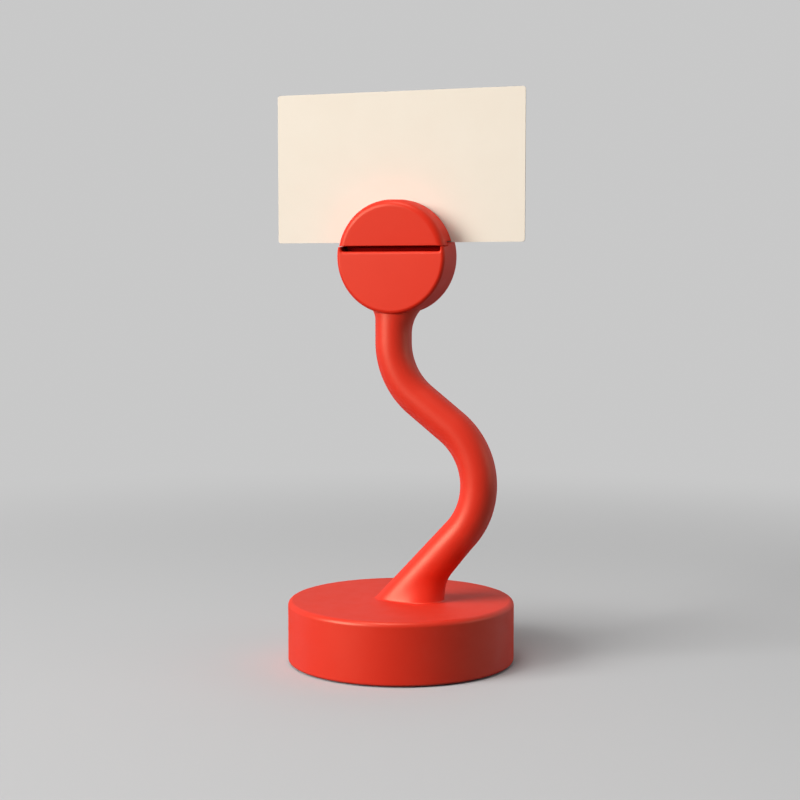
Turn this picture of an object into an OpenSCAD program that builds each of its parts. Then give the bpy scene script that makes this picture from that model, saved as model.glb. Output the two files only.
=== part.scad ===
// Desk memo holder: a weighted round base, an S-shaped stem and a round head.
// The upper front half of the head is a sprung jaw that grips a card against the rear cheek.
// Millimetres. The origin is on the desk under the middle of the base, +Z is up, the front is -Y.

/* [Base] */
// Diameter of the base
base_d = 78; // [70:0.5:100]
// Height of the base's top above the desk
base_h = 21.5; // [21:0.1:28]
// Rounding of the base's top edge
base_edge = 2.6; // [1:0.1:4]
// Rounding of the base's bottom edge
base_foot_edge = 0.9; // [0.5:0.1:2]
// Side wall of the base cover
cover_wall = 2.4; // [1.8:0.1:4]
// Top wall of the base cover
cover_top = 3; // [2.2:0.1:3.5]

/* [Weight] */
// Thickness of the steel ballast disc
ballast_t = 8.5; // [7:0.1:9]
// Thickness of the plate that closes the base
plate_t = 2.2; // [1.8:0.1:2.6]
// Thickness of the non-slip foot pad
pad_t = 1.2; // [1:0.1:1.8]
// How far the foot pad stands out below the base
pad_stand = 0.4; // [0.3:0.1:0.8]
// Width of the bare rim around the foot pad
pad_margin = 5; // [3:0.5:10]
// Distance of the base screws from the middle
screw_ring_r = 26; // [20:0.5:28]
// Number of base screws
screw_count = 3; // [3:1:4]
// Thread diameter of the base screws
screw_d = 3; // [2.5:0.1:3.5]
// Length of the base screws
screw_l = 12; // [8:0.5:14]
// Wall of the bosses round the base screws
boss_wall = 1.9; // [1.5:0.1:2.4]
// Width of the step on each boss that holds the ballast down
boss_step = 1.6; // [1:0.1:2]

/* [Stem] */
// Diameter of the stem's sleeve
stem_d = 12.5; // [10:0.1:13]
// Where the stem's line meets the base's top, sideways from the middle
foot_x = -0.6; // [-3:0.1:3]
// Slope of the stem where it leaves the base, in degrees
foot_angle = 47; // [42:0.5:54]
// Length of the straight stretch above the base
foot_run = 32; // [26:0.5:38]
// Radius of both bends, at the middle of the stem
bend_r = 25; // [20:0.5:28]
// How far the middle of the stem leans back past upright, in degrees
lean = 52; // [46:0.5:58]
// Where the neck stands, sideways from the middle
neck_x = -2.7; // [-5:0.1:1]
// How far the foot widens on its steep side, from the first bend down to the base
foot_taper = 2.8; // [1:0.1:4]
// How far the foot swells further at the toe of its steep side
foot_toe = 4.2; // [2:0.1:5]
// Height of that toe
foot_toe_h = 9; // [6:0.5:12]
// How far the foot widens on its other sides
foot_lift = 0.4; // [0.2:0.1:2]
// Small rounding where the foot meets the base
foot_root = 0.8; // [0.5:0.1:2]
// Thickness of the foot flange that is let into the base cover
flange_t = 1.2; // [0.8:0.1:1.6]
// Radius of the hollow where the neck's right side runs into the head
neck_fillet = 12; // [8:0.5:16]
// Radius of the hollow where the neck's left side runs into the head
neck_fillet_left = 6; // [4:0.5:10]

/* [Core rod] */
// Diameter of the bent steel rod inside the stem
rod_d = 5; // [4:0.1:5.5]
// How far the rod ends below the middle of the head
rod_drop = 5; // [4:0.1:6]
// Depth of the flat on the rod for the grub screw
rod_flat = 0.5; // [0.3:0.1:0.8]
// How far the rod's lower end stays inside the ballast
rod_rise = 0.4; // [0.2:0.1:1]
// Gap round the rod in the top of the base cover
rod_hole_gap = 1.5; // [1:0.1:2]
// Radius of the rod's bend inside the base
rod_foot_r = 10; // [8:0.5:11]
// Width of the hexagon nuts across their flats
nut_af = 8; // [7.5:0.1:9]
// Thickness of the hexagon nuts
nut_t = 3.2; // [2.5:0.1:3.4]
// Diameter of the washers
washer_d = 10; // [9.8:0.1:12]
// Thickness of the washers
washer_t = 0.8; // [0.5:0.1:1]
// How far the lower nut is sunk into the ballast
nut_sink = 0.7; // [0.4:0.1:1]

/* [Head] */
// Diameter of the head
head_d = 38.8; // [36:0.2:44]
// Thickness of the head from front to back
head_t = 14.4; // [13:0.1:17]
// Rounding of the head's rims
head_edge = 1.3; // [1:0.1:2.2]
// Rounding of the jaw's front rim
jaw_edge = 2.4; // [1:0.1:2.6]
// Middle of the head, sideways from the middle of the base
head_x = -1.5; // [-4:0.1:2]
// Middle of the head above the desk
head_z = 139.3; // [137:0.2:150]
// Thread diameter of the grub screw that locks the rod
grub_d = 3; // [2:0.1:3.5]
// How far the grub screw sits below the head's middle
grub_drop = 9; // [7:0.1:11]
// How far the grub screw is sunk into the back of the head
grub_sink = 1.5; // [0.5:0.1:2.5]

/* [Clip] */
// Height of the groove across the front of the head
groove_h = 2.1; // [1.6:0.1:2.6]
// Height of the groove and of the hinge pin above the head's middle
groove_rise = 2.8; // [1:0.1:4]
// Rounding of the groove's lower lip
lip_edge = 1; // [0.4:0.1:1.2]
// Rounding of the jaw's lip above the groove
jaw_lip = 0.3; // [0.2:0.1:0.8]
// Width of the ears that close the groove's ends, in from the head's sides
ear_w = 1.7; // [1.5:0.1:3]
// Rounding at the foot of each ear
ear_foot = 0.8; // [0.4:0.05:0.9]
// Angle that the jaw tips on from the card until it meets the ears, in degrees
jaw_open = 2.5; // [2:0.5:4]
// Gap that is left between the ears and the fully tipped jaw
stop_gap = 0.06; // [0.04:0.01:0.2]
// Distance of the head's side walls from the groove's ends, inwards
wall_in = 0.6; // [0.4:0.1:1]
// Diameter of the hinge pin
pin_d = 2.5; // [2:0.1:2.8]
// Length of the hinge pin
pin_l = 26.8; // [24:0.2:29]
// Diameter of the jaw's hinge barrel
barrel_d = 6.4; // [6.2:0.1:6.6]
// How much slimmer the hinge lugs are than the barrel, in radius
lug_gap = 0.9; // [0.8:0.05:1]
// How far in front of the pin the barrel's front wall ends, where it covers the lugs and the spring
shield_y = 1.5; // [1.4:0.1:1.8]
// Width of each hinge lug on the head
lug_w = 4; // [3:0.1:5]
// Distance of the middle of each lug from the middle of the hinge
lug_x = 11; // [10:0.1:12]
// Width of the spring's bay in the hinge barrel
bay_w = 5.2; // [4.8:0.1:7]
// Wire diameter of the torsion spring
wire_d = 0.6; // [0.4:0.05:0.7]
// Radius of the spring's turns, at the middle of the wire
coil_r = 1.9; // [1.8:0.05:2]
// Number of turns of the spring
coil_turns = 5; // [3:1:6]
// Length of the spring's legs
spring_leg = 5.5; // [4:0.1:6]

/* [Grip] */
// Rear grip pad's face behind the head's middle plane
slit_y = 3.5; // [3.3:0.05:4]
// Height of the slit's floor above the hinge pin
slit_rise = 2.1; // [1.9:0.1:2.4]
// How far the grip pads stand out of their seats
pad_proud = 0.15; // [0.1:0.05:0.3]
// Depth of the grip pads' seats
pad_seat = 0.8; // [0.5:0.1:1]
// Length of the jaw's grip pad
jaw_pad_l = 18; // [12:0.5:20]
// How far the grip pads reach above the grip ridge
pad_above = 1.6; // [1.3:0.1:2]
// How far the jaw's grip pad reaches below the grip ridge
pad_below = 4; // [2:0.1:5]
// Distance of the rear grip pad above the slit's floor
pad_lift = 2.5; // [1.5:0.1:4]
// Distance of the grip ridge below the top of the head
ridge_drop = 4.3; // [3.6:0.1:6]
// Radius of the grip ridge
ridge_r = 0.9; // [0.7:0.05:1.1]
// Length of the rear grip pad
rear_pad_l = 20; // [14:0.5:21]
// How far the jaw's back stands off the rear pad when the clip is empty
jaw_relief = 0.55; // [0.55:0.05:0.8]
// Rounding of the slit's mouth
mouth_edge = 0.6; // [0.3:0.1:0.9]

/* [Card] */
// Width of the card
card_w = 89.7; // [70:0.1:105]
// Height of the card
card_h = 51.3; // [40:0.1:75]
// Where the middle of the card stands, sideways from the middle of the head
card_x = -0.6; // [-10:0.1:10]
// Thickness of the card
card_t = 0.45; // [0.25:0.05:0.6]
// Radius of the card's corners
card_corner = 1; // [0.2:0.1:4]

/* [Fits] */
// Gap between pieces that are seated in each other
seat = 0.05; // [0.02:0.01:0.1]
// Running gap between the hinge pin and the jaw
running = 0.05; // [0.02:0.01:0.1]
// Gap between faces that move past each other
clear = 0.3; // [0.2:0.05:0.4]
// Gap between the card and each grip pad
touch = 0.03; // [0.02:0.01:0.05]

/* [Hidden] */
$fn = 96;

red = "#d9402c";
steel = "#b9bcc0";
iron = "#5b5e62";
grey = "#3c3d40";
cream = "#f3e7d3";

// A cutter reaches past the solid it cuts by this much
past = 1;
// A cutter for a rounding reaches past the edge by this much
skirt = 0.3;
// A cutter that has no set size is this large
far = 200;

// Radius of a screw's head and of a screw's socket, as shares of its thread diameter
head_share = 0.95;
socket_share = 0.28;

// Heights inside the base
plate_z = pad_stand;
ballast_z = plate_z + plate_t;
ballast_top = ballast_z + ballast_t;
cover_in = base_h - cover_top;
cavity_r = base_d / 2 - cover_wall;
counterbore_h = nut_sink + nut_t + washer_t;
rod_bottom = ballast_z + rod_rise;
lower_washer_z = ballast_z + counterbore_h - washer_t;
lower_nut_z = lower_washer_z - nut_t;
screw_boss_r = screw_d / 2 + boss_wall;
screw_head_r = screw_d * head_share;
screw_head_h = screw_head_r - screw_d / 2;
screw_floor = plate_z + pad_t - pad_stand;

// Stem line: straight, bend to the left, straight, bend back to upright, neck
stem_r = stem_d / 2;
mid_angle = 90 + lean;
mid_turn = mid_angle - foot_angle;
bend_1 = [foot_x + foot_run * cos(foot_angle), base_h + foot_run * sin(foot_angle)];
centre_1 = bend_1 + bend_r * [-sin(foot_angle), cos(foot_angle)];
end_1 = centre_1 + bend_r * [sin(mid_angle), -cos(mid_angle)];
mid_run = (end_1[0] - bend_r * (1 - sin(mid_angle)) - neck_x) / -cos(mid_angle);
bend_2 = end_1 + mid_run * [cos(mid_angle), sin(mid_angle)];
centre_2 = bend_2 + bend_r * [sin(mid_angle), -cos(mid_angle)];
neck_z = centre_2[1];

// Rod: a leg on the base's axis, a bend into the stem line, then the stem line
rod_r = rod_d / 2;
rod_join_x = rod_foot_r * (1 - sin(foot_angle));
rod_join_z = base_h + (rod_join_x - foot_x) * tan(foot_angle);
rod_leg_top = rod_join_z - rod_foot_r * cos(foot_angle);
rod_top = head_z - rod_drop;
// Bending thins the rod by this much, and each straight stretch laps into its bends
bend_thin = 0.02;
lap = 0.05;
function before(place, angle) = place - lap * [cos(angle), sin(angle)];

// Head and hinge
head_r = head_d / 2;
pin_z = head_z + groove_rise;
pin_r = pin_d / 2;
barrel_r = barrel_d / 2;
trough_r = barrel_r + clear;
lug_r = barrel_r - lug_gap;
groove_low = pin_z - groove_h / 2;
groove_top = pin_z + groove_h / 2;
groove_half = head_r - ear_w;
trough_half = groove_half - wall_in;
slit_z = pin_z + slit_rise;
// The head's side walls step up from the ears to the slit's floor in front of the pin
step_y = -pin_r - wall_in;
grub_z = head_z - grub_drop;
rod_flat_y = rod_r - rod_flat;

// Grip: the card stands against the rear pad, and its thickness tips the jaw forward
cheek_y = slit_y + pad_proud;
card_back = slit_y - touch;
card_front = card_back - card_t;
jaw_back = slit_y - jaw_relief;
ridge_z = head_z + head_r - ridge_drop;
ridge_rise = ridge_z - pin_z;
jaw_tip = asin((card_t + 2 * touch) / ridge_rise);
rear_pad_low = slit_z + pad_lift;
rear_pad_high = ridge_z + pad_above;

// Half of a round piece's section: radius, height, rounding of its lower and upper edges
module round_section(r, h, low_edge, high_edge) {
    translate([0, low_edge])
        square([r, h - low_edge - high_edge]);
    square([r - low_edge, h / 2]);
    translate([0, h / 2])
        square([r - high_edge, h / 2]);
    translate([r - low_edge, low_edge])
        circle(low_edge);
    translate([r - high_edge, h - high_edge])
        circle(high_edge);
}

// Cylinder along X between two sideways places, from the middle of the head
module along_x(r, from, to, y, z) {
    translate([head_x + from, y, z])
        rotate([0, 90, 0])
            cylinder(r = r, h = to - from);
}

// Cylinder along Y between two depths
module along_y(r, from, to, x, z) {
    translate([x, to, z])
        rotate([90, 0, 0])
            cylinder(r = r, h = to - from);
}

// Box between two corners
module span(low, high) {
    translate(low)
        cube(high - low);
}

// Section of what a rounding takes off an edge at the origin of a solid that lies to the right of it and above
module edge_section(r) {
    difference() {
        translate([-skirt, -skirt])
            square(r + skirt);
        translate([r, r])
            circle(r);
    }
}

// Copies on the circle of the base screws
module at_screws() {
    for (i = [0 : screw_count - 1])
        rotate(90 + i * 360 / screw_count)
            translate([screw_ring_r, 0, 0])
                children();
}

// Turns a piece of the jaw forward about the pin, from where it stands in the empty clip
module tipped(angle = jaw_tip) {
    translate([0, 0, pin_z])
        rotate([angle, 0, 0])
            translate([0, 0, -pin_z])
                children();
}

// The head's round form, with a back and a front rim
module head_form(grow, back, back_edge, front_edge) {
    translate([head_x, back + grow, head_z])
        rotate([90, 0, 0])
            rotate_extrude()
                round_section(head_r + grow, head_t / 2 + back + 2 * grow, back_edge, front_edge);
}

// One bend of the stem in the XZ plane
module bend(centre, radius, start, turn, r) {
    translate([centre[0], 0, centre[1]])
        rotate([90, 0, 0])
            rotate([0, 0, start])
                rotate_extrude(angle = turn)
                    translate([radius, 0])
                        circle(r);
}

// One straight stretch in the XZ plane
module stretch(from, angle, run, r) {
    translate([from[0], 0, from[1]])
        rotate([0, 90 - angle, 0])
            cylinder(r = r, h = run);
}

// The rod's whole line, at the rod's radius or at the radius of its bore.
// Each stretch laps into the bends beside it, which are a hair thinner.
module rod_line(r, bottom, top) {
    stretch([0, bottom], 90, rod_leg_top - bottom + lap, r);
    bend([rod_foot_r, rod_leg_top], rod_foot_r, 90 + foot_angle, 90 - foot_angle, r - bend_thin);
    stretch(before([rod_join_x, rod_join_z], foot_angle), foot_angle,
        foot_run - (rod_join_z - base_h) / sin(foot_angle) + 2 * lap, r);
    bend(centre_1, bend_r, foot_angle - 90, mid_turn, r - bend_thin);
    stretch(before(end_1, mid_angle), mid_angle, mid_run + 2 * lap, r);
    bend(centre_2, bend_r, 180, lean, r - bend_thin);
    stretch(before([neck_x, neck_z], 90), 90, top - neck_z + lap, r);
}

// Sleeve: rings of points from the foot flange to the head
ring_n = 40;
ring = [for (i = [0 : ring_n - 1]) i * 360 / ring_n];
root_steps = 4;
wall_steps = 8;
bend_step = 8;
neck_steps = 9;

// Height of the foot's straight generator at angle a, where the first bend starts
function wall_top(a) = foot_run * sin(foot_angle) - stem_r * cos(a) * cos(foot_angle);

// How far the foot stands out at angle a and height h, by its taper and its toe
taper_curve = 1.15;
toe_curve = 1.45;
function steep(a) = pow((1 + cos(a)) / 2, 4);
function swell(a, h) =
    (foot_lift + foot_taper * steep(a)) * pow(max(0, 1 - h / wall_top(a)), taper_curve)
    + foot_toe * steep(a) * pow(max(0, 1 - h / foot_toe_h), toe_curve);

// Point of the foot's side at angle a and height h above the base, moved out by more
function foot_point(a, h, more) =
    let (s = (h + stem_r * cos(a) * cos(foot_angle)) / sin(foot_angle),
         out = swell(a, h) + more)
    [foot_x + s * cos(foot_angle) + stem_r * cos(a) * sin(foot_angle) + out * cos(a),
     (stem_r + out) * sin(a),
     base_h + h];

// Outline of the foot where it meets the base's top
function foot_outline(more) = [for (a = ring) foot_point(a, 0, foot_root + more)];

// Ring across the stem at a place and a direction
function cross_ring(place, angle) = [for (a = ring)
    [place[0] + stem_r * cos(a) * sin(angle), stem_r * sin(a), place[1] - stem_r * cos(a) * cos(angle)]];

// Hollow at each side of the neck: its start, its end at the head, and how far it stands out at height z
neck_off = head_x - neck_x;
function hollow_low(r, off) = head_z - sqrt(pow(head_r + r, 2) - pow(stem_r + r + off, 2));
function hollow_high(r, off) = head_z - (head_z - hollow_low(r, off)) * head_r / (head_r + r);
function hollow(r, off, z) =
    let (rise = max(0, min(z, hollow_high(r, off)) - hollow_low(r, off)))
    r - sqrt(r * r - rise * rise);
function neck_out(a, z) = cos(a) > 0 ? hollow(neck_fillet, -neck_off, z) : hollow(neck_fillet_left, neck_off, z);
function neck_ring(z) = [for (a = ring)
    [neck_x + (stem_r + neck_out(a, z)) * cos(a), stem_r * sin(a), z]];
neck_low = min(hollow_low(neck_fillet, -neck_off), hollow_low(neck_fillet_left, neck_off));
neck_high = max(hollow_high(neck_fillet, -neck_off), hollow_high(neck_fillet_left, neck_off));

sleeve_rings = [
    [for (p = foot_outline(0)) [p[0], p[1], base_h - flange_t]],
    for (i = [0 : root_steps])
        let (b = 90 - i * 90 / root_steps)
        [for (a = ring) foot_point(a, foot_root * (1 - sin(b)), foot_root * (1 - cos(b)))],
    for (i = [1 : wall_steps - 1])
        [for (a = ring) foot_point(a, foot_root + (wall_top(a) - foot_root) * i / wall_steps, 0)],
    for (b = [foot_angle : bend_step : mid_angle - bend_step / 2])
        cross_ring(centre_1 + bend_r * [sin(b), -cos(b)], b),
    cross_ring(end_1, mid_angle),
    for (b = [mid_angle : -bend_step : 90 + bend_step / 2])
        if (b < mid_angle || mid_run > past)
            cross_ring(centre_2 - bend_r * [sin(b), -cos(b)], b),
    cross_ring([neck_x, neck_z], 90),
    for (i = [0 : neck_steps])
        neck_ring(neck_low + (neck_high - neck_low) * i / neck_steps),
    neck_ring(neck_high + head_edge + past)
];

// Closed skin over a stack of rings of equal count
module skin(rings) {
    n = len(rings[0]);
    last = len(rings) - 1;
    points = [for (r = rings) for (p = r) p];
    sides = [for (k = [0 : last - 1]) for (i = [0 : n - 1])
        let (j = (i + 1) % n)
        each [[k * n + i, (k + 1) * n + i, (k + 1) * n + j], [k * n + i, (k + 1) * n + j, k * n + j]]];
    bottom = [for (i = [0 : n - 1]) i];
    top = [for (i = [n - 1 : -1 : 0]) last * n + i];
    polyhedron(points, concat([bottom, top], sides), convexity = 6);
}

// Moulded cover of the base, with stepped bosses that hold the ballast down
module base_cover() color(red) {
    difference() {
        union() {
            difference() {
                translate([0, 0, plate_z])
                    rotate_extrude()
                        round_section(base_d / 2, base_h - plate_z, base_foot_edge, base_edge);
                translate([0, 0, plate_z - past])
                    cylinder(r = cavity_r, h = cover_in - plate_z + past);
            }
            at_screws() {
                translate([0, 0, ballast_top])
                    cylinder(r = screw_boss_r + boss_step, h = cover_in - ballast_top + past);
                translate([0, 0, ballast_z])
                    cylinder(r = screw_boss_r, h = cover_in - ballast_z + past);
            }
        }
        at_screws()
            translate([0, 0, ballast_z - past])
                cylinder(r = screw_d / 2 + seat, h = screw_l - plate_t + 2 * past);
        translate([0, 0, base_h - flange_t - seat])
            linear_extrude(flange_t + seat + past)
                polygon([for (p = foot_outline(seat)) [p[0], p[1]]]);
        translate([0, 0, cover_in - past])
            cylinder(r = rod_r + rod_hole_gap, h = cover_top + 2 * past);
    }
}

// Steel disc that weights the base, with a counterbore for the lower nut
module ballast_disc() color(iron)
    difference() {
        translate([0, 0, ballast_z])
            cylinder(r = cavity_r - clear, h = ballast_t);
        translate([0, 0, ballast_z - past])
            cylinder(r = rod_r + seat, h = ballast_t + 2 * past);
        translate([0, 0, ballast_z - past])
            cylinder(r = washer_d / 2 + clear, h = counterbore_h + past);
        at_screws()
            translate([0, 0, ballast_z - past])
                cylinder(r = screw_boss_r + clear, h = ballast_t + 2 * past);
    }

// Plate that closes the base from below, with a recess for the foot pad
module base_plate() color(grey)
    difference() {
        translate([0, 0, plate_z])
            cylinder(r = cavity_r - seat, h = plate_t);
        translate([0, 0, plate_z - past])
            cylinder(r = base_d / 2 - pad_margin, h = pad_t - pad_stand + past);
        at_screws() {
            translate([0, 0, plate_z])
                cylinder(r = screw_d / 2 + seat, h = plate_t + past);
            translate([0, 0, screw_floor])
                cylinder(r1 = screw_head_r + seat, r2 = screw_d / 2 + seat, h = screw_head_h);
        }
    }

// Countersunk screws from the plate into the cover's bosses
module base_screws() color(steel)
    at_screws()
        difference() {
            translate([0, 0, screw_floor]) {
                cylinder(r1 = screw_head_r, r2 = screw_d / 2, h = screw_head_h);
                cylinder(r = screw_d / 2, h = screw_l);
            }
            translate([0, 0, screw_floor - past])
                cylinder(r = screw_d * socket_share, h = past + screw_head_h, $fn = 6);
        }

// Non-slip pad that the holder stands on
module foot_pad() color(grey)
    cylinder(r = base_d / 2 - pad_margin - seat, h = pad_t);

module washer(z) color(steel)
    translate([0, 0, z])
        difference() {
            cylinder(r = washer_d / 2, h = washer_t);
            translate([0, 0, -past])
                cylinder(r = rod_r + seat, h = washer_t + 2 * past);
        }

module nut(z) color(steel)
    translate([0, 0, z])
        difference() {
            cylinder(r = nut_af / sqrt(3), h = nut_t, $fn = 6);
            translate([0, 0, -past])
                cylinder(r = rod_r + seat, h = nut_t + 2 * past);
        }

module lower_washer() washer(lower_washer_z);
module lower_nut() nut(lower_nut_z);
module upper_washer() washer(ballast_top);
module upper_nut() nut(ballast_top + washer_t);

// Bent steel core from the ballast to the head, with a flat for the grub screw
module stem_rod() color(steel)
    difference() {
        rod_line(rod_r, rod_bottom, rod_top);
        span([neck_x - rod_d, rod_flat_y, grub_z - grub_d], [neck_x + rod_d, rod_d, grub_z + grub_d]);
    }

// Soft moulded sleeve over the rod, swelling into the base and hollowed out under the head
module stem_sleeve() color(red)
    difference() {
        skin(sleeve_rings);
        head_form(seat, head_t / 2, head_edge, head_edge);
        rod_line(rod_r + seat, rod_bottom, rod_top);
    }

// Lower half and rear cheek of the head, with the hinge lugs and the trough for the jaw's barrel
module head_body() color(red)
    difference() {
        union() {
            difference() {
                head_form(0, head_t / 2, head_edge, head_edge);
                span([-far, -far, slit_z], [far, cheek_y, far]);
                groove_cut();
                groove_lip();
                along_x(trough_r, -trough_half, trough_half, 0, pin_z);
                mouth_cut();
            }
            for (side = [-1, 1])
                translate([side * lug_x, 0, 0]) {
                    along_x(lug_r, -lug_w / 2, lug_w / 2, 0, pin_z);
                    span([head_x - lug_w / 2, -pin_r + clear, pin_z - trough_r - past],
                        [head_x + lug_w / 2, lug_r, pin_z]);
                }
        }
        along_x(pin_r + seat / 2, -head_d, lug_x + lug_w / 2 + past, 0, pin_z);
        translate([neck_x, 0, head_z - head_r - past])
            cylinder(r = rod_r + seat, h = rod_top - head_z + head_r + past + seat);
        along_y(grub_d / 2 + seat, 0, head_t, neck_x, grub_z);
        span([head_x - rear_pad_l / 2 - seat, 0, rear_pad_low - seat],
            [head_x + rear_pad_l / 2 + seat, cheek_y + pad_seat, rear_pad_high + seat]);
        span([head_x + leg_low_x - wire_d, coil_r - wire_d / 2 - seat, pin_z - spring_leg - seat],
            [head_x + leg_low_x + wire_d, coil_r + wire_d / 2 + seat, pin_z]);
    }

// Groove across the front, with a rounded foot at the ear on each end.
// The ears' tops lie along the underside of the fully tipped jaw.
module groove_cut() {
    translate([head_x, step_y, groove_low])
        rotate([90, 0, 0])
            linear_extrude(head_t) {
                translate([-groove_half + ear_foot, 0])
                    square([2 * (groove_half - ear_foot), far]);
                translate([-groove_half, ear_foot])
                    square([2 * groove_half, far]);
                for (side = [-1, 1])
                    translate([side * (groove_half - ear_foot), ear_foot])
                        circle(ear_foot);
            }
    intersection() {
        tipped(jaw_tip + jaw_open)
            span([-far, -far, groove_top - stop_gap], [far, far, far]);
        span([-far, -far, -far], [far, step_y, far]);
    }
}

// Rounding of the groove's lower lip and of the ears' inner edges, in one sweep round the groove
module groove_lip()
    translate([head_x, -head_t / 2, groove_low]) {
        translate([-groove_half + ear_foot, 0, 0])
            rotate([0, 90, 0])
                linear_extrude(2 * (groove_half - ear_foot))
                    edge_section(lip_edge);
        for (side = [-1, 1])
            translate([side * (groove_half - ear_foot), 0, ear_foot]) {
                rotate([90, 0, 0])
                    rotate([0, 0, side > 0 ? -90 : 180])
                        rotate_extrude(angle = 90)
                            translate([ear_foot, 0])
                                mirror([0, 1])
                                    edge_section(lip_edge);
                mirror([side > 0 ? 0 : 1, 0, 0])
                    translate([ear_foot, 0, 0])
                        linear_extrude(groove_h)
                            edge_section(lip_edge);
            }
    }

// Rounding along the front rim of the rear cheek
module mouth_cut()
    intersection() {
        translate([head_x, cheek_y + mouth_edge, head_z])
            rotate([90, 0, 0])
                rotate_extrude()
                    difference() {
                        translate([head_r - mouth_edge, 0])
                            square(mouth_edge + past);
                        translate([head_r - mouth_edge, 0])
                            circle(mouth_edge);
                    }
        span([-far, -far, slit_z], [far, far, far]);
    }

// Grub screw from behind, that presses on the rod's flat
module rod_grub_screw() color(steel)
    difference() {
        along_y(grub_d / 2, rod_flat_y + seat, head_t / 2 - grub_sink, neck_x, grub_z);
        translate([neck_x, head_t / 2, grub_z])
            rotate([90, 0, 0])
                cylinder(r = grub_d * socket_share, h = grub_sink + grub_d / 2, $fn = 6);
    }

// Pin through both lugs and the jaw's barrel
module hinge_pin() color(steel)
    along_x(pin_r, -pin_l / 2, pin_l / 2, 0, pin_z);

// Torsion spring round the pin, one leg in the head and one in the jaw
coil_pitch = wire_d * 1.1;
coil_l = coil_turns * coil_pitch;
leg_low_x = -coil_l / 2;
leg_high_x = coil_l / 2;
coil_sides = 8;
coil_steps = 14;

// Ring of the wire's section at turn angle t
function wire_ring(t) = [for (i = [0 : coil_sides - 1])
    let (b = -i * 360 / coil_sides,
         out = coil_r + wire_d / 2 * cos(b))
    [head_x - coil_l / 2 + coil_pitch * t / 360 + wire_d / 2 * sin(b),
     out * cos(t),
     pin_z + out * sin(t)]];

// Leg: the same ring moved along the wire by a leg's length
function moved(ring_points, by) = [for (p = ring_points) p + by];
coil_end = coil_turns * coil_steps;

module jaw_spring() color(steel)
    skin([
        moved(wire_ring(0), [0, 0, -spring_leg]),
        for (k = [0 : coil_end]) wire_ring(k * 360 / coil_steps),
        moved(wire_ring(coil_end * 360 / coil_steps), spring_leg * [0, -sin(jaw_tip), cos(jaw_tip)])
    ]);

// Rubber pad in the rear cheek
module rear_pad() color(grey)
    span([head_x - rear_pad_l / 2, slit_y, rear_pad_low],
        [head_x + rear_pad_l / 2, cheek_y + pad_seat, rear_pad_high]);

// Gap in the jaw's barrel for a lug or the spring, open to the back behind the barrel's front wall
module barrel_gap(from, to) {
    along_x(lug_r + clear, from, to, 0, pin_z);
    intersection() {
        along_x(trough_r, from, to, 0, pin_z);
        span([-far, -shield_y, -far], [far, far, far]);
    }
}

// Sprung jaw: the upper front half of the head with the hinge barrel under it
module clip_jaw() color(red)
    tipped()
        difference() {
            union() {
                difference() {
                    head_form(0, jaw_back, mouth_edge, jaw_edge);
                    span([-far, -far, -far], [far, 0, groove_top]);
                    span([-far, -past, -far], [far, far, slit_z + clear]);
                    span([-far, step_y - clear, -far], [head_x - trough_half + clear, 0, slit_z + clear]);
                    span([head_x + trough_half - clear, step_y - clear, -far], [far, 0, slit_z + clear]);
                    translate([head_x - head_d, -head_t / 2, groove_top])
                        rotate([90, 0, 90])
                            linear_extrude(2 * head_d)
                                edge_section(jaw_lip);
                }
                along_x(barrel_r, -trough_half + clear, trough_half - clear, 0, pin_z);
            }
            for (side = [-1, 1])
                barrel_gap(side * lug_x - lug_w / 2 - clear, side * lug_x + lug_w / 2 + clear);
            barrel_gap(-bay_w / 2, bay_w / 2);
            along_x(pin_r + running, -head_r, pin_l / 2 + clear, 0, pin_z);
            span([head_x + leg_high_x - wire_d, 0, pin_z],
                [head_x + leg_high_x + wire_d, coil_r + wire_d / 2 + seat, pin_z + spring_leg + clear]);
            span([head_x - jaw_pad_l / 2 - seat, jaw_back - pad_seat, ridge_z - pad_below - seat],
                [head_x + jaw_pad_l / 2 + seat, head_t, ridge_z + pad_above + seat]);
        }

// Plug that closes the pin's hole in the head's left side
module pin_plug() color(red)
    intersection() {
        along_x(pin_r, -head_d, -trough_half, 0, pin_z);
        along_y(head_r, -head_t, head_t, head_x, head_z);
    }

// Rubber pad in the jaw's back, with the ridge that bears on the card
module jaw_pad() color(grey)
    tipped() {
        span([head_x - jaw_pad_l / 2, jaw_back - pad_seat, ridge_z - pad_below],
            [head_x + jaw_pad_l / 2, jaw_back, ridge_z + pad_above]);
        intersection() {
            along_x(ridge_r, -jaw_pad_l / 2, jaw_pad_l / 2, slit_y - touch - ridge_r, ridge_z);
            span([-far, jaw_back - pad_seat, -far], [far, far, far]);
        }
    }

// The card that the clip holds, standing on the slit's floor
module memo_card() color(cream)
    translate([head_x + card_x, card_back, slit_z])
        rotate([90, 0, 0])
            linear_extrude(card_t) {
                translate([-card_w / 2 + card_corner, 0])
                    square([card_w - 2 * card_corner, card_h]);
                translate([-card_w / 2, card_corner])
                    square([card_w, card_h - 2 * card_corner]);
                for (x = [-1, 1])
                    for (z = [card_corner, card_h - card_corner])
                        translate([x * (card_w / 2 - card_corner), z])
                            circle(card_corner);
            }

base_cover();
ballast_disc();
base_plate();
base_screws();
foot_pad();
lower_washer();
lower_nut();
upper_washer();
upper_nut();
stem_rod();
stem_sleeve();
head_body();
rod_grub_screw();
hinge_pin();
jaw_spring();
rear_pad();
clip_jaw();
pin_plug();
jaw_pad();
memo_card();
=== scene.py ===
"""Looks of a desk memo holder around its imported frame.

The holder is a weighted round base, an S-shaped stem and a round head whose upper front half is a
sprung jaw that grips a card. Metres, +Z up, the front is -Y. Sizes in the sections are millimetres.
"""

from math import radians

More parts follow.
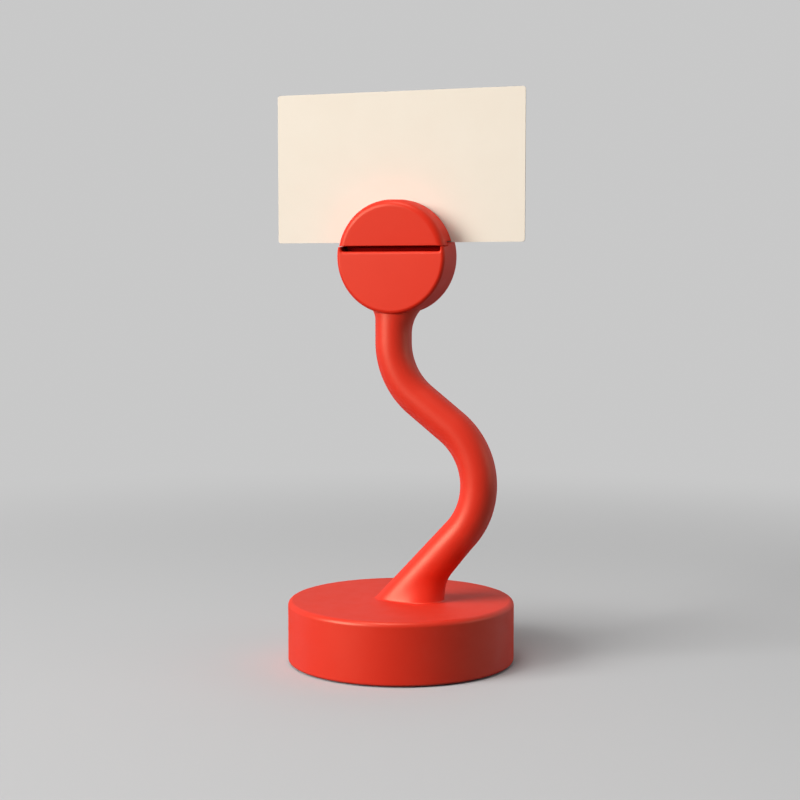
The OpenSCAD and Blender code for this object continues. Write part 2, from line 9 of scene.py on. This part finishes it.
import bmesh
import bpy
import numpy as np
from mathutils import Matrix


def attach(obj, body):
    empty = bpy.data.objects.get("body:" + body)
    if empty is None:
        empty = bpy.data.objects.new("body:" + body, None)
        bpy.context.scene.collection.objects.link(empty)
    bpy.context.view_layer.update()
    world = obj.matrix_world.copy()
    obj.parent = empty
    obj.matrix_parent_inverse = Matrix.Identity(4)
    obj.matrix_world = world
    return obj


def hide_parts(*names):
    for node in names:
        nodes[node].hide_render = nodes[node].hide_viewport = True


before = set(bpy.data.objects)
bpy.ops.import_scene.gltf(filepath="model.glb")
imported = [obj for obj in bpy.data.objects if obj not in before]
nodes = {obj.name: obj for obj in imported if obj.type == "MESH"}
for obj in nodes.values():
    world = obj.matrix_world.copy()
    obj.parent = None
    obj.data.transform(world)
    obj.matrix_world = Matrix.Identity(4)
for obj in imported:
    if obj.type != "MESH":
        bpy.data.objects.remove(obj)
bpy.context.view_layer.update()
scene = bpy.context.scene

# Camera: half a metre away, to the right of the holder's front and level with its head.
# It looks down by four and a half degrees.
camera = bpy.data.objects.new("camera", bpy.data.cameras.new("camera"))
camera.location = (0.18566, -0.51112, 0.13316)
camera.rotation_euler = (radians(85.502), 0, radians(20))
camera.data.lens = 71.57
camera.data.sensor_width = 36
scene.collection.objects.link(camera)
scene.camera = camera


# Foot pad: a disc of black foam rubber, stamped from sheet and glued into the base plate.
# Its open cells show as fine pits, and it stands out far enough to lift the base off the desk.
class Finish:
    """A material under construction: its nodes, its shader and the Object coordinates that patterns read."""

    def __init__(self, name, colour, roughness, metallic=0.0, specular=0.5):
        self.material = bpy.data.materials.new(name)
        self.material.use_nodes = True
        tree = self.material.node_tree
        self.make = tree.nodes.new
        self.link = tree.links.new
        self.shader = tree.nodes["Principled BSDF"]
        self.set("Base Color", (*colour, 1))
        self.set("Roughness", roughness)
        self.set("Metallic", metallic)
        self.set("Specular IOR Level", specular)
        self.place = self.make("ShaderNodeTexCoord").outputs["Object"]
        self.normal = None

    def set(self, socket, value):
        """Gives the shader a value that is the same all over."""
        self.shader.inputs[socket].default_value = value

    def drive(self, socket, value):
        """Gives the shader another node's output."""
        self.link(value, self.shader.inputs[socket])

    def stretched(self, scale):
        """Object coordinates, stretched along each axis."""
        mapping = self.make("ShaderNodeMapping")
        mapping.inputs["Scale"].default_value = scale
        self.link(self.place, mapping.inputs["Vector"])
        return mapping.outputs["Vector"]

    def clouds(self, size, detail=2.0, place=None):
        """Noise between 0 and 1 whose blotches are about size millimetres across."""
        noise = self.make("ShaderNodeTexNoise")
        noise.inputs["Scale"].default_value = 1000 / size
        noise.inputs["Detail"].default_value = detail
        self.link(place or self.place, noise.inputs["Vector"])
        return noise.outputs["Fac"]

    def spread(self, factor, low, high, low_at=0.3, high_at=0.7):
        """A number that goes from low to high as the factor goes from low_at to high_at."""
        ramp = self.make("ShaderNodeMapRange")
        ramp.inputs["From Min"].default_value = low_at
        ramp.inputs["From Max"].default_value = high_at
        ramp.inputs["To Min"].default_value = low
        ramp.inputs["To Max"].default_value = high
        self.link(factor, ramp.inputs["Value"])
        return ramp.outputs["Result"]

    def joined(self, operation, *numbers):
        """Numbers, each a value or another node's output, joined by an operation such as MULTIPLY."""
        join = self.make("ShaderNodeMath")
        join.operation = operation
        for end, number in enumerate(numbers):
            if isinstance(number, (int, float)):
                join.inputs[end].default_value = number
            else:
                self.link(number, join.inputs[end])
        return join.outputs["Value"]

    def tint(self, factor, first, second):
        """Colour between two shades, each a colour or another node's output, by a factor."""
        mix = self.make("ShaderNodeMix")
        mix.data_type = "RGBA"
        for end, colour in (("A", first), ("B", second)):
            if isinstance(colour, tuple):
                mix.inputs[end].default_value = (*colour, 1)
            else:
                self.link(colour, mix.inputs[end])
        self.link(factor, mix.inputs["Factor"])
        return mix.outputs["Result"]

    def relief(self, height, depth, strength=1.0):
        """Bumps that are depth millimetres deep, laid over those already there."""
        bump = self.make("ShaderNodeBump")
        bump.inputs["Distance"].default_value = depth / 1000
        bump.inputs["Strength"].default_value = strength
        self.link(height, bump.inputs["Height"])
        if self.normal is not None:
            self.link(self.normal, bump.inputs["Normal"])
        self.normal = bump.outputs["Normal"]
        self.drive("Normal", self.normal)

    def coat(self, *names):
        """Puts the material on these nodes of the frame."""
        for name in names:
            nodes[name].material_slots[0].material = self.material


foam_rubber = Finish("foam_rubber", (0.03, 0.03, 0.033), 0.9, specular=0.25)
foam_cells = foam_rubber.clouds(0.5, 3)
foam_rubber.drive("Base Color", foam_rubber.tint(foam_cells, (0.018, 0.018, 0.02), (0.045, 0.045, 0.048)))
foam_rubber.drive("Roughness", foam_rubber.spread(foam_rubber.clouds(6), 0.82, 0.97))
foam_rubber.relief(foam_cells, 0.15, 0.7)
foam_rubber.coat("foot_pad")

# Base plate: a black moulded disc that closes the base from below and holds the foot pad in its recess.
# Its face has the dull, faintly sparkling texture of an etched mould.
moulded_black = Finish("moulded_black", (0.05, 0.05, 0.055), 0.55, specular=0.4)
etched = moulded_black.clouds(0.35, 2)
black_flow = moulded_black.clouds(12)
moulded_black.drive("Base Color", moulded_black.tint(black_flow, (0.042, 0.042, 0.047), (0.06, 0.06, 0.064)))
moulded_black.drive("Roughness", moulded_black.spread(etched, 0.48, 0.66))
moulded_black.relief(etched, 0.03, 0.6)
moulded_black.coat("base_plate")

# Ballast: a turned cast-iron disc inside the base, which keeps the tall holder from tipping.
# Turning leaves fine rings round its axis, and the casting's pores show between them.
cast_iron = Finish("cast_iron", (0.16, 0.16, 0.17), 0.5, metallic=1.0)
turning = cast_iron.make("ShaderNodeTexWave")
turning.wave_type = "RINGS"
turning.rings_direction = "Z"
turning.inputs["Scale"].default_value = 320
turning.inputs["Distortion"].default_value = 0.6
cast_iron.link(cast_iron.place, turning.inputs["Vector"])
cast_iron.drive("Base Color", cast_iron.tint(cast_iron.clouds(3, 4), (0.11, 0.11, 0.115), (0.2, 0.2, 0.205)))
cast_iron.drive("Roughness", cast_iron.spread(cast_iron.clouds(1.2, 3), 0.42, 0.62))
cast_iron.relief(turning.outputs["Fac"], 0.02, 0.5)
cast_iron.coat("ballast_disc")

# Screws, nuts and washers: zinc-plated steel, with the cloudy bluish look of passivated plating.
# They fasten the rod to the ballast, the plate to the cover, and the head to the rod.
zinc_plate = Finish("zinc_plate", (0.5, 0.5, 0.51), 0.34, metallic=1.0)
spangle = zinc_plate.clouds(1.6, 4)
zinc_plate.drive("Base Color", zinc_plate.tint(spangle, (0.44, 0.45, 0.48), (0.58, 0.57, 0.55)))
zinc_plate.drive("Roughness", zinc_plate.spread(zinc_plate.clouds(0.6, 3), 0.26, 0.44))
zinc_plate.relief(zinc_plate.clouds(0.2), 0.01, 0.4)
zinc_plate.coat("base_screws", "lower_washer", "lower_nut", "upper_washer", "upper_nut", "rod_grub_screw")

# Rod and hinge pin: drawn steel bars, the rod bent cold to the stem's S.
# Drawing leaves fine scratches along the bars.
drawn_steel = Finish("drawn_steel", (0.5, 0.5, 0.51), 0.3, metallic=1.0)
scratches = drawn_steel.clouds(0.25, 3, drawn_steel.stretched((0.06, 1, 0.06)))
drawn_steel.drive("Base Color", drawn_steel.tint(scratches, (0.44, 0.44, 0.45), (0.56, 0.56, 0.57)))
drawn_steel.drive("Roughness", drawn_steel.spread(scratches, 0.22, 0.4))
drawn_steel.relief(scratches, 0.01, 0.5)
drawn_steel.coat("stem_rod", "hinge_pin")

# Base cover: a hollow drum moulded in red plastic with a soft-touch skin, open below.
# All the red pieces share this skin: an even red, matt, with a very fine grain and a soft broad shine.
# It is the frame's own mesh, with its top edge redrawn to the tighter rounding of the real drum.
base_top = 21.5
cover_r = 39
frame_edge = 2.6
top_edge = 1.8
foot_edge = 0.9
stand_off = 0.4
cover_shine = 0.72
# A point counts as on a rounding if it lies this close to its sector and to its arc
sector_slack = 0.01
arc_slack = 0.05


def soft_touch(name, shine):
    """Red soft-touch skin: faint clouds of colour and gloss, and a grain of less than half a millimetre.

    The skin scatters light that grazes it, so its roughness rises with the angle to the eye.
    """
    skin = Finish(name, (0.76, 0.02, 0.006), 0.4, specular=shine)
    skin.warm = (1, 0.76, 0.52)
    skin.set("Specular Tint", (*skin.warm, 1))
    skin.red = skin.tint(skin.clouds(16, 3), (0.735, 0.018, 0.005), (0.785, 0.022, 0.007))
    skin.drive("Base Color", skin.red)
    gloss = skin.spread(skin.clouds(5, 3), 0.37, 0.43)
    facing = skin.make("ShaderNodeLayerWeight").outputs["Facing"]
    graze = skin.spread(facing, 0.0, 0.38, 0.5, 0.95)
    skin.drive("Roughness", skin.joined("ADD", gloss, graze))
    skin.relief(skin.clouds(9, 1), 0.03, 0.5)
    skin.relief(skin.clouds(0.4, 2), 0.02, 0.6)
    return skin


def merged(mesh):
    """Joins the loose faces of a mesh where their corners meet."""
    form = bmesh.new()
    form.from_mesh(mesh)
    bmesh.ops.remove_doubles(form, verts=form.verts, dist=1e-6)
    form.to_mesh(mesh)
    form.free()


def read(rows, name, width, kind=float):
    """One row of width numbers for each vertex, corner or face of a mesh."""
    values = np.empty(len(rows) * width, kind)
    rows.foreach_get(name, values)
    return values.reshape(-1, width)


cover_mesh = nodes["base_cover"].data.copy()
cover = bpy.data.objects.new("cover", cover_mesh)
scene.collection.objects.link(cover)
merged(cover_mesh)

# Points of the top rounding move to a smaller arc, each in its own direction from the arc's middle
points = read(cover_mesh.vertices, "co", 3) * 1000
spoke = np.hypot(points[:, 0], points[:, 1])
heading = points[:, :2] / spoke.clip(1e-9)[:, None]
across = spoke - (cover_r - frame_edge)
above = points[:, 2] - (base_top - frame_edge)
on_arc = abs(np.hypot(across, above) - frame_edge) < arc_slack
edge = on_arc & (across > -sector_slack) & (above > -sector_slack)
redrawn = cover_r - top_edge + across * top_edge / frame_edge
points[edge, :2] = (heading * redrawn[:, None])[edge]
points[edge, 2] = base_top - top_edge + above[edge] * top_edge / frame_edge
cover_mesh.vertices.foreach_set("co", points.ravel() / 1000)
cover_mesh.update()
cover_mesh.shade_smooth()

# Exact shading directions on the round outside, those of the faces elsewhere
side = (spoke > cover_r - foot_edge - sector_slack) & ~edge
foot_rise = np.minimum((points[:, 2] - foot_edge - stand_off) / foot_edge, 0)
outward = np.where(edge, across / frame_edge, (spoke - cover_r + foot_edge) / foot_edge)
upward = np.where(edge, above / frame_edge, foot_rise)
lean = np.column_stack([heading * outward[:, None], upward])
corners = read(cover_mesh.loops, "vertex_index", 1, int)[:, 0]
corner_count = read(cover_mesh.polygons, "loop_total", 1, int)[:, 0]
face_lean = np.repeat(read(cover_mesh.polygons, "normal", 3), corner_count, axis=0)
cover_mesh.normals_split_custom_set(np.where((edge | side)[corners, None], lean[corners], face_lean).tolist())
cover_mesh.materials.clear()
cover_mesh.materials.append(soft_touch("cover_skin", cover_shine).material)
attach(cover, "stand")
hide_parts("base_cover")

# Stem sleeve: red skin moulded over the bent rod, round and 12.5 mm thick.
# It swells where it leaves the base at a slant and is hollowed out where it runs into the head.
stem_r = 6.25
foot_x = -0.6
foot_slope = radians(47)
foot_run = 32
taper = 2.8
taper_curve = 1.15
toe = 4.8
toe_h = 9
toe_curve = 1.45
root_r = 0.5
flange = 1.2
flange_margin = 1.2
flange_tuck = 0.6
bend_r = 25
mid_slope = radians(142)
neck_x = -2.7
neck_fillet = 12
neck_fillet_left = 6
head_x = -1.5
head_z = 139.3
head_r = 19.4
# Drop below the head's middle where the neck's rings begin, where its hollows end, and where it ends
neck_start = 27
hollow_end = 15.8
neck_end = 13.7
rod_bore_r = 2.55
rod_foot_r = 10
sleeve_shine = 0.74
around = np.linspace(0, 2 * np.pi, 128, endpoint=False)
wall_h = foot_run * np.sin(foot_slope) - stem_r * np.cos(around) * np.cos(foot_slope)
steep = ((1 + np.cos(around)) / 2) ** 4


def stack(x, y, z):
    """Points from three arrays that are spread to one common shape."""
    return np.stack(np.broadcast_arrays(x, y, z), axis=-1).astype(float)


def foot_rings(height, more):
    """Rings of the foot at a height above the base: the slanted round stem cut level, and moved outwards.

    The move is a taper that starts at the first bend and a toe near the base, both largest on the steep
    side (angle 0), plus more.
    """
    out = taper * steep * np.clip(1 - height / wall_h, 0, None) ** taper_curve + more
    out = out + toe * steep * np.clip(1 - height / toe_h, 0, None) ** toe_curve
    along = (height + stem_r * np.cos(around) * np.cos(foot_slope)) / np.sin(foot_slope)
    x = foot_x + along * np.cos(foot_slope) + stem_r * np.cos(around) * np.sin(foot_slope)
    return stack(x + out * np.cos(around), (stem_r + out) * np.sin(around), base_top + height)


def cross_rings(line_x, line_z, slope, r):
    """Round rings of radius r across a line in the XZ plane, one for each point and slope of the line."""
    px, pz, slope = (np.asarray(v, float)[:, None] for v in (line_x, line_z, slope))
    x = px + r * np.cos(around) * np.sin(slope)
    return stack(x, r * np.sin(around), pz - r * np.cos(around) * np.cos(slope))


def hollow(radius, offset, z):
    """How far a hollow of a radius stands out at height z, where the neck's side runs into the head's circle.

    The hollow touches the neck's upright side and the circle, whose middle lies offset further out.
    """
    drop = np.sqrt((head_r + radius) ** 2 - (stem_r + radius + offset) ** 2)
    end = drop - drop * head_r / (head_r + radius)
    rise = np.clip(z - (head_z - drop), 0, end)
    return radius - np.sqrt(radius ** 2 - rise ** 2)


def ring_skin(name, rings):
    """Closed skin over a closed loop of rings, whose points run round in step."""
    count, sides = rings.shape[:2]
    index = np.arange(count * sides).reshape(count, sides)
    after = np.roll(index, -1, axis=0)
    faces = np.stack([index, np.roll(index, -1, axis=1), np.roll(after, -1, axis=1), after], axis=-1)
    mesh = bpy.data.meshes.new(name)
    mesh.from_pydata((rings.reshape(-1, 3) / 1000).tolist(), [], faces.reshape(-1, 4).tolist())
    merged(mesh)
    form = bmesh.new()
    form.from_mesh(mesh)
    bmesh.ops.recalc_face_normals(form, faces=form.faces)
    form.to_mesh(mesh)
    form.free()
    mesh.shade_smooth()
    mesh.set_sharp_from_angle(angle=radians(40))
    piece = bpy.data.objects.new(name, mesh)
    scene.collection.objects.link(piece)
    return piece


# The stem's line: a straight foot, a bend to the left, a short slant, a bend back to upright
bend_1 = np.array([foot_x + foot_run * np.cos(foot_slope), base_top + foot_run * np.sin(foot_slope)])
centre_1 = bend_1 + bend_r * np.array([-np.sin(foot_slope), np.cos(foot_slope)])
turn_1 = np.linspace(foot_slope, mid_slope, 48)
end_1 = centre_1 + bend_r * np.array([np.sin(mid_slope), -np.cos(mid_slope)])
mid_run = (end_1[0] - bend_r * (1 - np.sin(mid_slope)) - neck_x) / -np.cos(mid_slope)
bend_2 = end_1 + mid_run * np.array([np.cos(mid_slope), np.sin(mid_slope)])
centre_2 = bend_2 + bend_r * np.array([np.sin(mid_slope), -np.cos(mid_slope)])
turn_2 = np.linspace(mid_slope, np.pi / 2, 28)
stem_line_x = np.concatenate([centre_1[0] + bend_r * np.sin(turn_1), centre_2[0] - bend_r * np.sin(turn_2)])
stem_line_z = np.concatenate([centre_1[1] - bend_r * np.cos(turn_1), centre_2[1] + bend_r * np.cos(turn_2)])
stem_slope = np.concatenate([turn_1, turn_2])

# The foot: a flange let flush into the cover, a small rounding on the base's top, then the swelling side
flange_ring = foot_rings(np.zeros((1, 1)), flange_margin - flange_tuck * steep)
root_turn = np.linspace(np.pi / 2, 0, 8)[:, None]
root_rings = foot_rings(root_r * (1 - np.sin(root_turn)), root_r * (1 - np.cos(root_turn)))
wall_share = np.linspace(0, 1, 40)[1:-1, None]
wall_rings = foot_rings(root_r + (wall_h - root_r) * wall_share, 0)

# The neck: its sides run out to right and left in hollows that meet the head's round side
neck_drop = np.append(np.linspace(neck_start, hollow_end, 40), neck_end)
neck_z = head_z - neck_drop[:, None]
flare_right = hollow(neck_fillet, neck_x - head_x, neck_z)
flare_left = hollow(neck_fillet_left, head_x - neck_x, neck_z)
flare = np.where(np.cos(around) > 0, flare_right, flare_left)
neck_rings = stack(neck_x + (stem_r + flare) * np.cos(around), stem_r * np.sin(around), neck_z)

# The bore for the rod, from the head back down to the flange
rod_turn = np.linspace(foot_slope, np.pi / 2, 12)
rod_join_x = rod_foot_r * (1 - np.sin(foot_slope))
rod_join_z = base_top + (rod_join_x - foot_x) * np.tan(foot_slope)
rod_leg_top = rod_join_z - rod_foot_r * np.cos(foot_slope)
rod_bend_x = rod_foot_r * (1 - np.sin(rod_turn))
rod_bend_z = rod_leg_top + rod_foot_r * np.cos(rod_turn)
bore_x = np.concatenate([[neck_x], stem_line_x[::-1], rod_bend_x, [0]])
bore_z = np.concatenate([neck_z[-1], stem_line_z[::-1], rod_bend_z, [base_top - flange]])
bore_slope = np.concatenate([[np.pi / 2], stem_slope[::-1], rod_turn, [np.pi / 2]])

sleeve = ring_skin("sleeve", np.concatenate([
    flange_ring - [0, 0, flange], flange_ring, root_rings, wall_rings,
    cross_rings(stem_line_x, stem_line_z, stem_slope, stem_r), neck_rings,
    cross_rings(bore_x, bore_z, bore_slope, rod_bore_r)]))
sleeve.data.materials.append(soft_touch("sleeve_skin", sleeve_shine).material)
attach(sleeve, "stand")
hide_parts("stem_sleeve")

# Head body: the lower half of the round head and the cheek behind the card, one red moulding with a
# groove across its front. A plug in its left side closes the hole through which the hinge pin went in.
# Its skin is duller than the base's, and deep in the groove its colour and reflection are darkened as painted
# shade.
head_shine = 0.42
groove_z = 142.1
groove_shade_half_w = 17.8
groove_shade_half_h = 2.1
groove_shade_from = (-6.4, -5.6)
groove_shade_to = (0, 1)


def skin_with_groove_shade(name):
    """Red skin with painted shade deep in the groove, in a box that starts about 1 mm behind the head's
    front.

    The box is 1 within half its width and height of the groove's middle, and fades in and out along Y.
    """
    skin = soft_touch(name, head_shine)
    axes = skin.make("ShaderNodeSeparateXYZ")
    skin.link(skin.place, axes.inputs["Vector"])
    in_width = skin.joined("COMPARE", axes.outputs["X"], head_x / 1000, groove_shade_half_w / 1000)
    in_height = skin.joined("COMPARE", axes.outputs["Z"], groove_z / 1000, groove_shade_half_h / 1000)
    behind = skin.spread(axes.outputs["Y"], 0, 1, groove_shade_from[0] / 1000, groove_shade_from[1] / 1000)
    before = skin.spread(axes.outputs["Y"], 1, 0, groove_shade_to[0] / 1000, groove_shade_to[1] / 1000)
    # Painted shade: inside this box the skin's colour turns dark red and its reflection a dim red.
    painted_groove_shade = skin.joined("MULTIPLY", skin.joined("MULTIPLY", behind, before),
                       skin.joined("MULTIPLY", in_width, in_height))
    skin.drive("Base Color", skin.tint(painted_groove_shade, skin.red, (0.36, 0.002, 0.001)))
    skin.drive("Specular Tint", skin.tint(painted_groove_shade, skin.warm, (0.2, 0, 0)))
    return skin


skin_with_groove_shade("head_skin").coat("head_body", "pin_plug")

# Spring: a torsion spring of hard-drawn wire round the hinge pin, which closes the jaw.
# The wire is blackened, with a thin film of oil.
spring_wire = Finish("spring_wire", (0.04, 0.04, 0.043), 0.45, metallic=1.0)
wire_film = spring_wire.clouds(0.8, 3)
spring_wire.drive("Base Color", spring_wire.tint(wire_film, (0.03, 0.03, 0.032), (0.055, 0.053, 0.052)))
spring_wire.drive("Roughness", spring_wire.spread(wire_film, 0.38, 0.55))
spring_wire.coat("jaw_spring")

# Clip jaw: the upper front half of the head, moulded in the same red, which turns on the hinge pin.
# Its front rim is rounder than the head's, and its back carries a grip pad.
# The jaw's skin has the same painted shade deep in the groove.
skin_with_groove_shade("jaw_skin").coat("clip_jaw")

# Grip pads: strips of dull soft rubber that hold the card, cut from sheet.
# One is glued into the cheek behind the card, the other, with a ridge along it, into the jaw's back.
grip_rubber = Finish("grip_rubber", (0.045, 0.045, 0.05), 0.8, specular=0.3)
bloom = grip_rubber.clouds(2.5, 4)
grip_rubber.drive("Base Color", grip_rubber.tint(bloom, (0.035, 0.035, 0.038), (0.062, 0.061, 0.064)))
grip_rubber.drive("Roughness", grip_rubber.spread(bloom, 0.72, 0.9))
grip_rubber.relief(grip_rubber.clouds(0.3), 0.03, 0.6)
grip_rubber.coat("rear_pad", "jaw_pad")

# Card: a standard-size card of uncoated cream stock, held upright in the slit.
# Its fibres give it a faint felt-like tooth and a barely uneven colour.
card_stock = Finish("card_stock", (0.89, 0.79, 0.66), 0.85, specular=0.2)
felt = card_stock.clouds(0.5, 4, card_stock.stretched((0.6, 1, 1)))
shade = card_stock.clouds(14, 3)
card_stock.drive("Base Color", card_stock.tint(shade, (0.875, 0.77, 0.635), (0.905, 0.81, 0.68)))
card_stock.drive("Roughness", card_stock.spread(felt, 0.78, 0.92))
card_stock.relief(felt, 0.02, 0.5)
card_stock.coat("memo_card")

# Floor: a plain pale sheet that takes the holder's shadow and runs out into a backdrop of the same tone.
# Seen directly it is pale; to the holder it gives back little light, as a deep-toned sheet would.
# Its reach, and the distances between which its shadow fades out, are metres.
pale = (0.58, 0.58, 0.58)
deep = (0.06, 0.06, 0.06)
reach = 4.0
fade_from = 0.2
fade_to = 0.55
floor = bpy.data.objects.new("floor", bpy.data.meshes.new("floor"))
floor.data.from_pydata([(-reach, -reach, 0), (reach, -reach, 0), (reach, reach, 0), (-reach, reach, 0)],
                       [], [(0, 1, 2, 3)])
scene.collection.objects.link(floor)


def seen_directly(tree):
    """1 for rays from the camera and for those that shiny or clear pieces send on, 0 for the rest."""
    path = tree.nodes.new("ShaderNodeLightPath")
    total = path.outputs["Is Camera Ray"]
    for ray in ("Is Glossy Ray", "Is Transmission Ray"):
        both = tree.nodes.new("ShaderNodeMath")
        both.operation = "MAXIMUM"
        tree.links.new(total, both.inputs[0])
        tree.links.new(path.outputs[ray], both.inputs[1])
        total = both.outputs[0]
    return total


sheet = bpy.data.materials.new("pale_sheet")
sheet.use_nodes = True
sheet_nodes = sheet.node_tree.nodes
sheet_link = sheet.node_tree.links.new
sheet_nodes.remove(sheet_nodes["Principled BSDF"])
sheet_seen = sheet_nodes.new("ShaderNodeBsdfDiffuse")
sheet_seen.inputs["Color"].default_value = (*pale, 1)
sheet_far = sheet_nodes.new("ShaderNodeEmission")
sheet_far.inputs["Color"].default_value = (*pale, 1)
sheet_dark = sheet_nodes.new("ShaderNodeBsdfDiffuse")
sheet_dark.inputs["Color"].default_value = (*deep, 1)
sheet_place = sheet_nodes.new("ShaderNodeTexCoord")
sheet_distance = sheet_nodes.new("ShaderNodeVectorMath")
sheet_distance.operation = "LENGTH"
sheet_link(sheet_place.outputs["Object"], sheet_distance.inputs[0])
sheet_fade = sheet_nodes.new("ShaderNodeMapRange")
sheet_fade.interpolation_type = "SMOOTHSTEP"
sheet_fade.inputs["From Min"].default_value = fade_from
sheet_fade.inputs["From Max"].default_value = fade_to
sheet_link(sheet_distance.outputs["Value"], sheet_fade.inputs["Value"])
sheet_pale = sheet_nodes.new("ShaderNodeMixShader")
sheet_link(sheet_fade.outputs["Result"], sheet_pale.inputs["Fac"])
sheet_link(sheet_seen.outputs["BSDF"], sheet_pale.inputs[1])
sheet_link(sheet_far.outputs["Emission"], sheet_pale.inputs[2])
sheet_mix = sheet_nodes.new("ShaderNodeMixShader")
sheet_link(seen_directly(sheet.node_tree), sheet_mix.inputs["Fac"])
sheet_link(sheet_dark.outputs["BSDF"], sheet_mix.inputs[1])
sheet_link(sheet_pale.outputs["Shader"], sheet_mix.inputs[2])
sheet_link(sheet_mix.outputs["Shader"], sheet_nodes["Material Output"].inputs["Surface"])
floor.data.materials.append(sheet)

# Room light: dim and even, with a brighter wall behind the holder, and pale where it is seen directly.
# The wall fades in between two shares of the direction along Y.
dim = 0.18
wall_bright = 0.75
wall_start = 0.55
wall_full = 0.85
room = bpy.data.worlds.new("room")
room.use_nodes = True
scene.world = room
room_nodes = room.node_tree.nodes
room_link = room.node_tree.links.new
room_light = room_nodes["Background"]
room_light.inputs["Color"].default_value = (1, 1, 1, 1)
room_place = room_nodes.new("ShaderNodeTexCoord")
room_side = room_nodes.new("ShaderNodeSeparateXYZ")
room_link(room_place.outputs["Generated"], room_side.inputs["Vector"])
room_wall = room_nodes.new("ShaderNodeMapRange")
room_wall.inputs["From Min"].default_value = wall_start
room_wall.inputs["From Max"].default_value = wall_full
room_wall.inputs["To Min"].default_value = dim
room_wall.inputs["To Max"].default_value = wall_bright
room_link(room_side.outputs["Y"], room_wall.inputs["Value"])
room_link(room_wall.outputs["Result"], room_light.inputs["Strength"])
room_seen = room_nodes.new("ShaderNodeBackground")
room_seen.inputs["Color"].default_value = (*pale, 1)
room_mix = room_nodes.new("ShaderNodeMixShader")
room_link(seen_directly(room.node_tree), room_mix.inputs["Fac"])
room_link(room_light.outputs["Background"], room_mix.inputs[1])
room_link(room_seen.outputs["Background"], room_mix.inputs[2])
room_link(room_mix.outputs["Shader"], room_nodes["World Output"].inputs["Surface"])


# Lamps: a large soft box to the left of the holder's front, a smaller one overhead, which throws the
# stem's shadow on the base, and a weak one at the right. Distances and sizes are metres, power is watts.
def soft_box(name, azimuth, elevation, distance, size, power):
    """Square lamp that shines on the holder's middle. Azimuth 0 is the front and 90 the right."""
    middle = np.array([0, 0, 0.09])
    turn, rise = radians(azimuth), radians(elevation)
    toward = np.array([np.sin(turn) * np.cos(rise), -np.cos(turn) * np.cos(rise), np.sin(rise)])
    lamp = bpy.data.objects.new(name, bpy.data.lights.new(name, "AREA"))
    lamp.location = middle + distance * toward
    lamp.rotation_euler = (radians(90) - rise, 0, turn)
    lamp.data.size = size
    lamp.data.energy = power
    lamp.visible_camera = False
    scene.collection.objects.link(lamp)


soft_box("key", -41, 20, 2.0, 1.1, 43.3)
soft_box("top", -20, 69, 1.6, 0.6, 10)
soft_box("rim", 100, 12, 0.9, 0.5, 0.7)

scene.view_settings.view_transform = "Standard"
